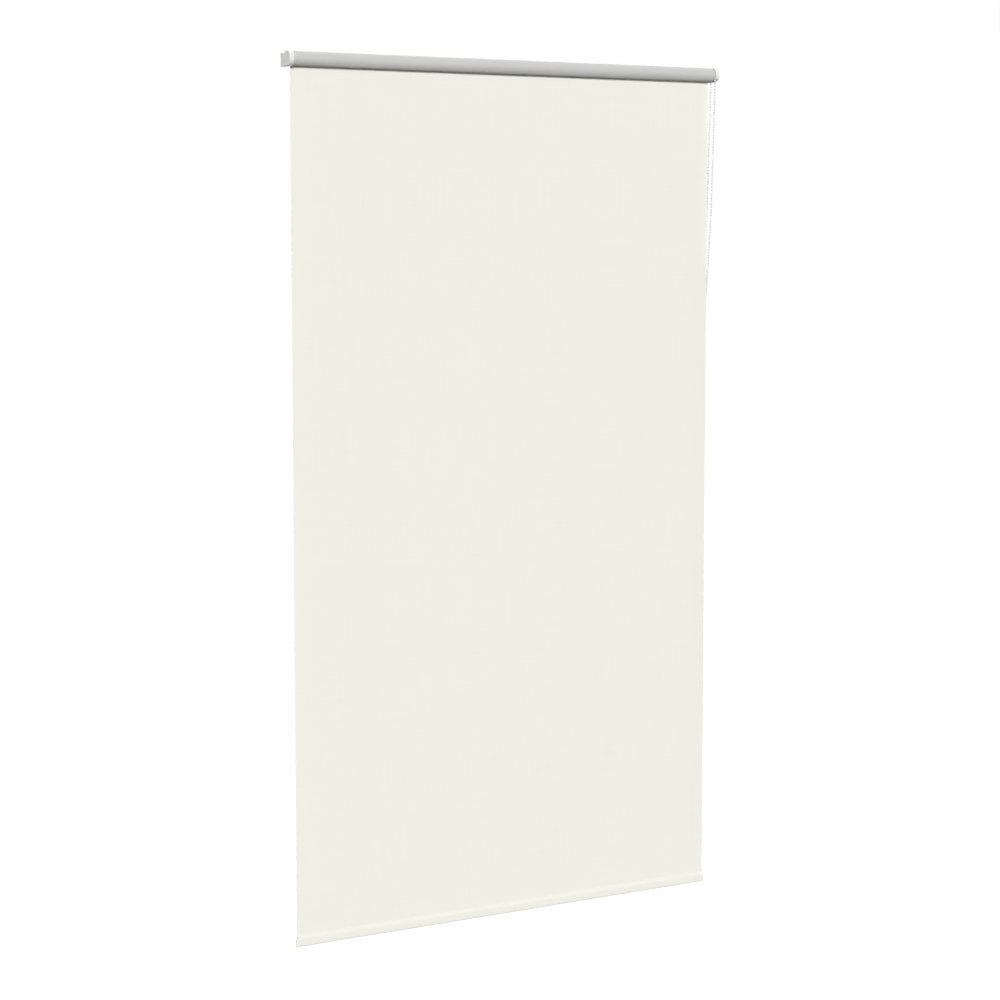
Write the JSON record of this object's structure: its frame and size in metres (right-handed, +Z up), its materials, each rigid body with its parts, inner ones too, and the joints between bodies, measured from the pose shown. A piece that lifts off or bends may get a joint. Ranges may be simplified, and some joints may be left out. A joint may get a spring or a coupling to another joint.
{
  "type": "roller blind",
  "caption": "Wall-hung blackout roller blind: cream fabric hangs from the back of a tube between covered brackets, turned by a looped ball chain, with a weight bar in the hem.",
  "frame": {"origin": "on the wall plane, midway between the two brackets, level with the tube's axis", "axes": "+X along the tube towards the chain end, +Y into the wall, +Z up"},
  "size_m": [0.9926, 0.0423, 1.7511],
  "materials": {
    "cover_plastic": "satin moulded white plastic",
    "zinc_steel": "zinc-plated pressed sheet",
    "tube_aluminium": "mill-finish extrusion",
    "clear_tape": "thin adhesive film",
    "coated_fabric": "woven cloth with a smooth light grey coating",
    "blackout_fabric": "cream woven cloth with an opaque coating behind",
    "bar_aluminium": "mill-finish extrusion",
    "cap_plastic": "satin moulded white plastic",
    "nylon": "moulded nylon",
    "spring_steel": "bright drawn wire",
    "chain_plastic": "smooth moulded white plastic"
  },
  "bodies": {
    "wall_side": {"left_bracket": "zinc_steel", "right_bracket": "zinc_steel", "left_bracket_cover": "cover_plastic", "right_bracket_cover": "cover_plastic", "clutch_post": "nylon", "post_clip": "spring_steel", "ball_chain": "chain_plastic", "chain_connector": "chain_plastic", "chain_tensioner": "chain_plastic", "tensioner_pin": "spring_steel", "fabric_sheet": "blackout_fabric"},
    "tube": {"roller_tube": "tube_aluminium", "fabric_roll": "coated_fabric", "fixing_tape": "clear_tape", "idle_plug": "nylon", "idle_plug_cap": "nylon", "drive_sleeve": "nylon", "chain_wheel": "nylon", "clutch_spring_outer": "spring_steel", "clutch_spring_inner": "spring_steel", "pin_spring": "spring_steel"},
    "bar": {"fabric_hem": "blackout_fabric", "bottom_bar": "bar_aluminium", "bottom_bar_cap_left": "cap_plastic", "bottom_bar_cap_right": "cap_plastic"},
    "pin": {"idle_pin": "nylon"}
  },
  "joints": [
    {"name": "tube_turn", "type": "hinge", "parent": "wall_side", "child": "tube", "pos_m": [0, -0.0273, 0], "axis": [1, 0, 0], "range_deg": [0, 5670], "deforming": ["ball_chain"]},
    {"name": "blind_lift", "type": "slide", "parent": "wall_side", "child": "bar", "axis": [0, 0, 1], "range_m": [0, 1.68], "deforming": ["fabric_sheet"]},
    {"name": "pin_slide", "type": "slide", "parent": "tube", "child": "pin", "axis": [1, 0, 0], "range_m": [0, 0.006], "stiffness_N_per_m": 600, "springref_m": -0.006, "deforming": ["pin_spring"]}
  ],
  "couplings": [
    {"joint": "blind_lift", "follows": "tube_turn", "m_per_rad": 0.016976}
  ]
}
